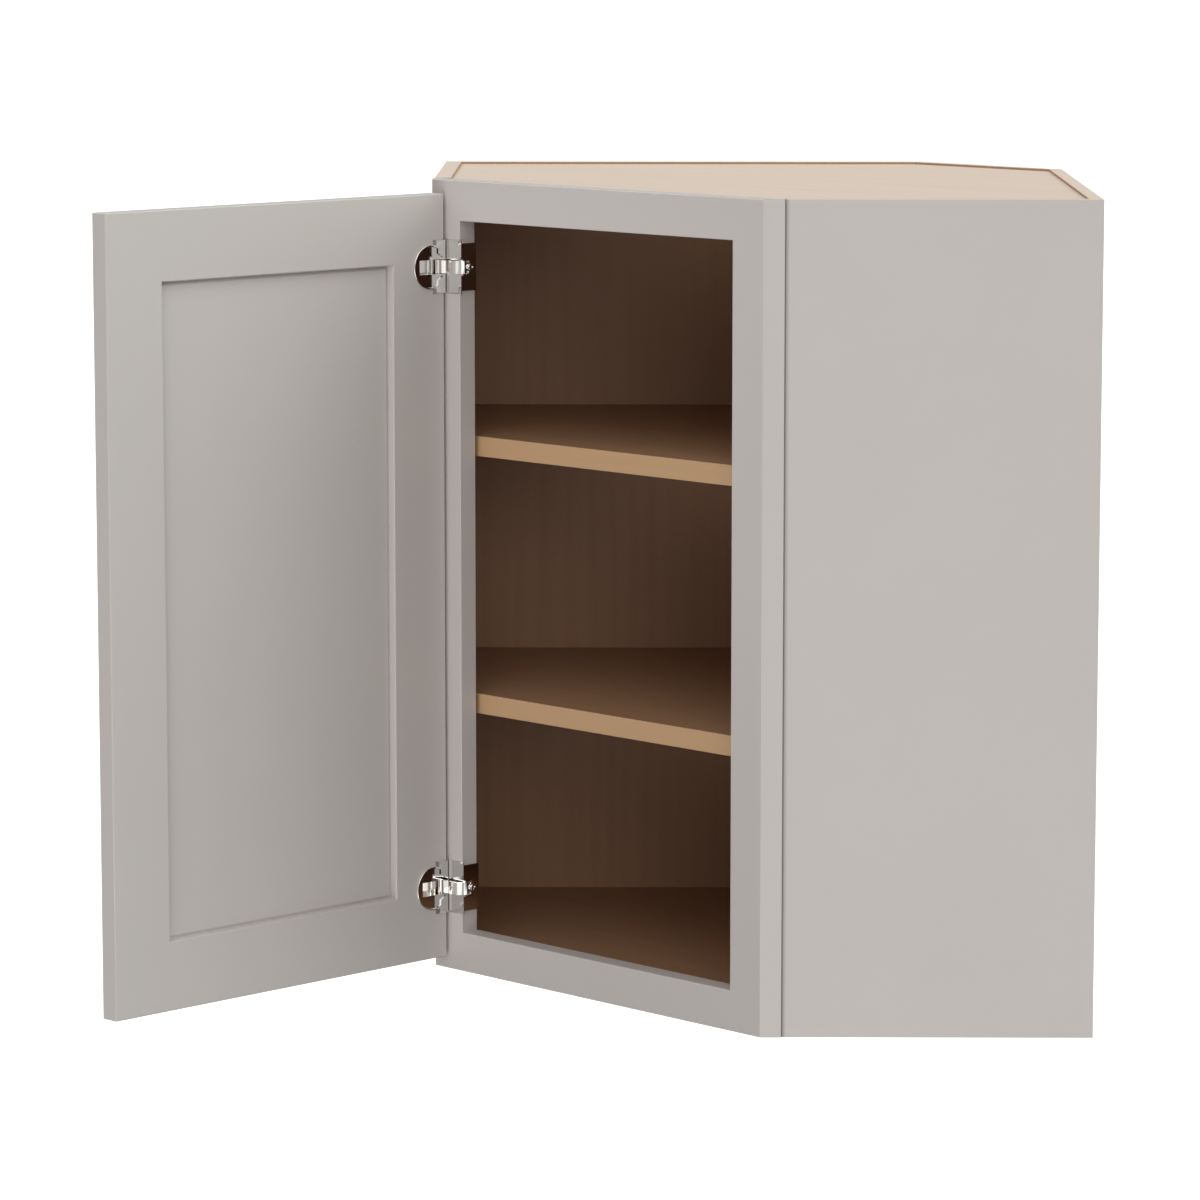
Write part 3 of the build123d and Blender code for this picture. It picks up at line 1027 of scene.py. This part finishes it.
@dataclass
class Carcass:
    """Sides, backs, hanging rails, top and bottom of the cabinet.

    Attributes:
        nodes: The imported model's pieces by name.
        paint: The paint on the outside of the sides.
    """

    nodes: Mapping[str, bpy.types.Object]
    paint: Paint

    def dress(self) -> None:
        """Give each board the finish of its faces and edges."""
        side = (-WALL_RUN, -SIDE_INNER, self.paint, LACQUERED, Way.UPRIGHT)
        back = (-BACK_INNER, 0.0, LACQUERED_LIT, BARE, Way.UPRIGHT)
        corner = (-CORNER_INNER_SUM, -CORNER_SUM, LACQUERED_LIT, BARE, Way.UPRIGHT)
        rail = (-2 * BACK_INNER, -BACK_INNER, LACQUERED_LIT, BARE)
        boards = {
            # each side's paint carries painted shade beside its joint with the face frame
            "side_panel_left": Board((1, 0, 0), *side, Seam((0, -1, 0))),
            "side_panel_right": Board((0, 1, 0), *side, Seam((-1, 0, 0))),
            "back_panel_rear": Board((0, 1, 0), *back),
            "back_panel_right": Board((1, 0, 0), *back),
            "back_corner_panel": Board((1, 1, 0), *corner),
            "hanging_rail_rear": Board((0, 1, 0), *rail, Way.ALONG_X),
            "hanging_rail_right": Board((1, 0, 0), *rail, Way.ALONG_Y),
            "bottom_panel": Board((0, 0, 1), *BOTTOM_FACES, BARE, LACQUERED, Way.ALONG_FRONT),
            "top_panel": Board((0, 0, 1), *TOP_FACES, LACQUERED, BARE, Way.ALONG_FRONT),
        }
        for name, board in boards.items():
            wear(self.nodes[name], board.material(name + "_finish"))
            log.info("dressed %s", name)
        dowel = bpy.data.materials.new("beech_dowels")
        shader = Shader(dowel)
        close(shader, BEECH.coat(shader, Way.ALONG_X))
        for name in ("panel_dowels", "frame_dowels"):
            wear(self.nodes[name], dowel)
            log.info("dressed %s", name)


@dataclass
class Painted:
    """Pieces that are painted all over.

    Attributes:
        nodes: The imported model's pieces by name.
        paint: The cabinet's paint.
        finish: The material's name.
        names: The pieces.
    """

    nodes: Mapping[str, bpy.types.Object]
    paint: Paint
    finish: str
    names: Sequence[str]

    def dress(self) -> None:
        """Paint every piece."""
        finish = self.paint.material(self.finish)
        for name in self.names:
            wear(self.nodes[name], finish)
            log.info("dressed %s", name)


@dataclass
class Shelves:
    """The loose shelves, their edge strips and their pins.

    Attributes:
        nodes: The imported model's pieces by name.
        pin: The sizes of a pin: its stub in the panel, its head, and the head's flat top.
        chamfer: The pins' chamfers.
        side_setback: From a side panel's front end to its pins.
        back_setback: From both ends of a back panel to its pins.
    """

    nodes: Mapping[str, bpy.types.Object]
    pin: Mapping[str, float] = field(
        default_factory=lambda: {
            "Stub Radius": 2.5 * MM,
            "Stub Length": 9.0 * MM,
            "Head Radius": 4.5 * MM,
            "Head Length": 9.0 * MM,
            "Flat Height": 2.0 * MM,
        }
    )
    chamfer: float = 0.6 * MM
    side_setback: float = 50.0 * MM
    back_setback: float = 50.0 * MM

    def _recipe(self) -> Recipe:
        """One pin: a stub with a chamfered tip and a head with a flat top."""
        recipe = Recipe("shelf_pin")
        stub, depth, head, reach, flat = (recipe.given(name) for name in self.pin)
        large, small = self.chamfer, self.chamfer / 2
        peg = recipe.turned(((-depth, stub - large), (-depth + large, stub), (OVERLAP, stub)))
        knob = recipe.turned(
            ((0.0, head - small), (small, head), (reach - large, head), (reach, head - large))
        )
        side = head * 4.0
        trim = recipe.box((side, side, side), (-flat - side / 2, 0.0, 0.0))
        recipe.spread(recipe.cut(recipe.fused(peg, knob), trim))
        return recipe

    def _places(self) -> list[tuple[Point, Point]]:
        """Where the pins stand and which way they point, under both shelves."""
        corner_start = BACK_INNER - CORNER_INNER_SUM
        quarter = math.pi / 2
        spots = (
            (-SIDE_INNER, self.side_setback - SIDE_END, 0.0),
            (self.back_setback - SIDE_INNER, -BACK_INNER, -quarter),
            (corner_start - self.back_setback, -BACK_INNER, -quarter),
        )
        places = []
        for low, _ in SHELF_FACES:
            level = low - self.pin["Flat Height"]
            for x, y, yaw in spots:
                places.append(((x, y, level), (0.0, quarter, yaw)))
                places.append(((y, x, level), (0.0, quarter, quarter - yaw)))
        return places

    def dress(self) -> None:
        """Finish boards and strips, and make the pins."""
        for name, (low, high) in zip(("lower", "upper"), SHELF_FACES):
            board = Board((0, 0, 1), low, high, LACQUERED, LACQUERED, Way.ALONG_FRONT)
            wear(self.nodes[f"shelf_{name}"], board.material(f"shelf_{name}_finish"))
            strip = bpy.data.materials.new(f"shelf_{name}_strip")
            shader = Shader(strip)
            close(shader, STRIP.coat(shader, Way.ALONG_FRONT))
            wear(self.nodes[f"shelf_{name}_edge_band"], strip)
            log.info("dressed shelf_%s and its edge band", name)
        sizes = {**self.pin, "Finish": STEEL.material("pin_steel")}
        pins = self._recipe().made("shelf_pins_turned", self._places(), sizes)
        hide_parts("shelf_lower_pins", "shelf_upper_pins")
        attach(pins, "cabinet")
        log.info("made %s, %d faces", pins.name, len(pins.data.polygons))


@dataclass
class Hinges:
    """Two concealed hinges, copied from the model and shaded as pressed metal, and their screws.

    Attributes:
        nodes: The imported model's pieces by name.
        merged: Corners closer together than this become one.
        flatness: Facets that lie within this angle become one, in degrees.
        crease: Edges bent by more than this are crisp, in degrees.
        screw: The sizes of a screw: head, shank and cross recess.
        rim: The screw head's outline, in shares of its height and of its radius.
        point: Radius and length of the screw's tip.
        spin: How far a screw may be turned from upright, in radians.
        seat: The screw heads' seat along the face frame.
        middle: The screws' distance behind the frame's face.
        levels: The hinges' heights.
    """

    nodes: Mapping[str, bpy.types.Object]
    merged: float = 0.004 * MM
    flatness: float = 0.6
    crease: float = 34.0
    screw: Mapping[str, float] = field(
        default_factory=lambda: {
            "Head Radius": 3.5 * MM,
            "Head Height": 2.0 * MM,
            "Shank Radius": 1.9 * MM,
            "Shank Length": 18.0 * MM,
            "Recess Width": 0.9 * MM,
            "Recess Span": 4.2 * MM,
            "Recess Depth": 1.0 * MM,
        }
    )
    rim: tuple[tuple[float, float], ...] = (
        (0.0, 0.97),
        (0.15, 1.0),
        (0.65, 1.0),
        (0.88, 0.97),
        (1.0, 0.90),
    )
    point: tuple[float, float] = (0.3 * MM, 3.0 * MM)
    spin: float = 0.7
    seat: float = 42.3 * MM
    middle: float = 9.525 * MM
    levels: tuple[float, float] = (81.7 * MM, 680.3 * MM)

    def _plated(self, node: str, body: str, finish: bpy.types.Material) -> bpy.types.Object:
        """Copy one node with flat faces that stay flat beside its roundings.

        Args:
            node: The node to stand in for.
            body: The body it rides on.
            finish: Its material.

        Returns:
            The finished piece.
        """
        shape = bmesh.new()
        shape.from_mesh(self.nodes[node].data)
        bmesh.ops.remove_doubles(shape, verts=shape.verts, dist=self.merged)
        bmesh.ops.dissolve_limit(
            shape, angle_limit=math.radians(self.flatness), verts=shape.verts, edges=shape.edges
        )
        piece = named_mesh(node + "_shape", shape)
        smoothed(piece, self.crease)
        flat = piece.modifiers.new("flat faces", "WEIGHTED_NORMAL")
        flat.keep_sharp = True
        flat.weight = 100
        piece = settled(piece, node + "_plated")
        wear(piece, finish)
        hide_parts(node)
        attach(piece, body)
        return piece

    def _recipe(self) -> Recipe:
        """One screw: a flat head with a cross recess, and a shank with a point."""
        recipe = Recipe("hinge_screw")
        sizes = [recipe.given(name) for name in self.screw]
        head, height, shank, length, width, span, depth = sizes
        disc = recipe.turned([(height * up, head * out) for up, out in self.rim])
        tip, taper = self.point
        stem = recipe.turned(((-length, tip), (-length + taper, shank), (OVERLAP, shank)))
        place = (0.0, 0.0, height - depth / 2)
        slots = [
            recipe.box((width, span, depth * CUT_PROUD), place),
            recipe.box((span, width, depth * CUT_PROUD), place),
        ]
        recipe.spread(recipe.cut(recipe.fused(disc, stem), *slots), self.spin)
        return recipe

    def dress(self) -> None:
        """Make the plated pieces and the screws, and finish the small pieces."""
        finish = NICKEL.material("bright_nickel")
        for name, body in (
            ("hinge_cup_lower", "door"),
            ("hinge_cup_upper", "door"),
            ("hinge_arm_lower", "cabinet"),
            ("hinge_arm_upper", "cabinet"),
            ("hinge_plate_lower", "cabinet"),
            ("hinge_plate_upper", "cabinet"),
        ):
            piece = self._plated(name, body, finish)
            log.info("made %s, %d faces", piece.name, len(piece.data.polygons))
        turn = (0.0, math.pi / 2, -math.pi / 4)
        places = [(on_front(self.seat, self.middle, level), turn) for level in self.levels]
        sizes = {**self.screw, "Finish": finish, "Seed": 7}
        screws = self._recipe().made("hinge_screws_cut", places, sizes)
        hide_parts("hinge_screws")
        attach(screws, "cabinet")
        log.info("made %s, %d faces", screws.name, len(screws.data.polygons))
        wear(self.nodes["hinge_pins"], STEEL.material("plated_steel"))
        wear(self.nodes["hinge_cup_dowels"], Nylon().material("nylon_dowels"))


# ---------------------------------------------------------------- studio


@dataclass(frozen=True)
class Glow:
    """A broad soft light far away from the cabinet.

    Attributes:
        elevation: Degrees above the horizon.
        azimuth: Degrees to the right of straight in front of the rear wall.
        tightness: How fast it fades from its middle outwards.
        strength: Its brightness in the middle.
        tint: Its colour.
    """

    elevation: float
    azimuth: float
    tightness: float
    strength: float
    tint: Colour = (1.0, 1.0, 1.0)

    def direction(self) -> Point:
        """The way towards the light's middle."""
        up, round_ = math.radians(self.elevation), math.radians(self.azimuth)
        return (math.sin(round_) * math.cos(up), -math.cos(round_) * math.cos(up), math.sin(up))


KEY_BANK = Glow(43.7, -6.7, 14.7, 2.2)
FRONT_BANK = Glow(13.3, 6.9, 42.0, 2.55)
FRONT_FILL = Glow(14.1, 60.0, 25.8, 1.92)
RIGHT_BANK = Glow(40.0, 93.3, 5.0, 2.4, (0.94, 1.0, 0.95))
LEFT_BANK = Glow(44.3, -116.5, 9.3, 2.97, (0.97, 1.0, 1.02))
FLOOR_BOUNCE = Glow(-28.5, -28.6, 16.3, 3.76)
LOW_STRIP = Glow(-8.0, 14.5, 150.0, 1.6)
BANKS = (KEY_BANK, FRONT_BANK, FRONT_FILL, RIGHT_BANK, LEFT_BANK, FLOOR_BOUNCE, LOW_STRIP)


@dataclass(frozen=True)
class Studio:
    """Floor, backdrop, light and camera.

    Attributes:
        floor_level: The floor, far below a cabinet that hangs on the wall.
        reach: How far the floor goes.
        rim: How much further the backdrop goes.
        floor_tone: Colour and glow of the floor.
        dome_tone: Colour and glow of the backdrop.
        ambient: Light that comes from everywhere alike.
        camera: Place of the camera.
        pitch: Camera looks down by this, in degrees.
        yaw: Camera turns left by this, in degrees.
        lens: Focal length in millimetres.
        sensor: Width of the camera's sensor in millimetres.
        sight: How far the camera sees.
    """

    floor_level: float = -1.37
    reach: float = 38.0
    rim: float = 0.5
    floor_tone: tuple[float, float] = (0.86, 0.32)
    dome_tone: tuple[float, float] = (0.0, 1.05)
    ambient: float = 0.016
    camera: Point = (-0.402167, -5.125668, 1.046463)
    pitch: float = 8.1209
    yaw: float = 0.588
    lens: float = 152.095
    sensor: float = 36.0
    sight: float = 200.0

    def build(self) -> None:
        """Make everything."""
        self._backdrop()
        self._light()
        self._camera()
        scene = bpy.context.scene
        scene.view_settings.view_transform = "Standard"
        scene.view_settings.look = "None"

    @staticmethod
    def _unlit_by(obj: bpy.types.Object) -> None:
        """Let the camera see a piece of the set without it throwing light on the cabinet.

        Args:
            obj: The floor or the backdrop.
        """
        obj.visible_diffuse = False
        obj.visible_glossy = False
        obj.visible_transmission = False
        obj.visible_shadow = False

    def _backdrop(self) -> None:
        """A round pale floor and a white dome above it."""
        down = Matrix.Translation((0.0, 0.0, self.floor_level))
        shape = bmesh.new()
        bmesh.ops.create_circle(shape, cap_ends=True, radius=self.reach, segments=96, matrix=down)
        floor = named_mesh("studio_floor", shape)
        shape = bmesh.new()
        bmesh.ops.create_uvsphere(
            shape, u_segments=64, v_segments=32, radius=self.reach + self.rim, matrix=down
        )
        dome = named_mesh("studio_backdrop", shape)
        for obj, (albedo, glow) in ((floor, self.floor_tone), (dome, self.dome_tone)):
            finish = bpy.data.materials.new(obj.name)
            shader = Shader(finish)
            surface = shader.value(
                "ShaderNodeBsdfPrincipled",
                {},
                {
                    "Base Color": (albedo, albedo, albedo),
                    "Roughness": 0.9,
                    "Specular IOR Level": 0.0,
                    "Emission Color": (1.0, 1.0, 1.0),
                    "Emission Strength": glow,
                },
            )
            shader.node("ShaderNodeOutputMaterial", {}, {"Surface": surface})
            wear(obj, finish)
            self._unlit_by(obj)

    def _light(self) -> None:
        """Soft light from banks all round."""
        world = bpy.data.worlds.new("studio_light")
        bpy.context.scene.world = world
        shader = Shader(world)
        place = shader.value("ShaderNodeTexCoord", {}, {}, "Generated")
        ray = shader.value("ShaderNodeVectorMath", {"operation": "NORMALIZE"}, {0: place})
        channels: list[Number] = [self.ambient] * 3
        for bank in BANKS:
            toward = shader.value(
                "ShaderNodeVectorMath",
                {"operation": "DOT_PRODUCT"},
                {0: ray, 1: bank.direction()},
                "Value",
            )
            fade = shader.value(
                "ShaderNodeMath", {"operation": "EXPONENT"}, {0: (toward - 1.0) * bank.tightness}
            )
            channels = [
                fade * (bank.strength * part) + channel
                for part, channel in zip(bank.tint, channels)
            ]
        light = shader.value(
            "ShaderNodeBackground", {}, {"Color": shader.joined(*channels), "Strength": 1.0}
        )
        shader.node("ShaderNodeOutputWorld", {}, {"Surface": light})

    def _camera(self) -> None:
        """The camera at the photograph's place."""
        data = bpy.data.cameras.new("camera")
        data.sensor_width = self.sensor
        data.lens = self.lens
        data.clip_end = self.sight
        obj = bpy.data.objects.new("camera", data)
        bpy.context.scene.collection.objects.link(obj)
        obj.location = self.camera
        turn = (math.radians(90.0 - self.pitch), 0.0, math.radians(self.yaw))
        obj.rotation_euler = Euler(turn, "XYZ")
        bpy.context.scene.camera = obj


def main() -> None:
    """Build the scene and report each part of it."""
    logging.basicConfig(level=logging.INFO, format="%(message)s")
    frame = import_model()
    nodes = frame["nodes"]
    paint = Paint()
    Studio().build()
    Carcass(nodes, paint).dress()
    Painted(nodes, paint, "frame_paint", FRAME_PIECES).dress()
    Painted(nodes, paint, "door_paint", DOOR_PIECES).dress()
    Shelves(nodes).dress()
    Hinges(nodes).dress()
    log.info("boxes written")


if __name__ == "__main__":
    main()
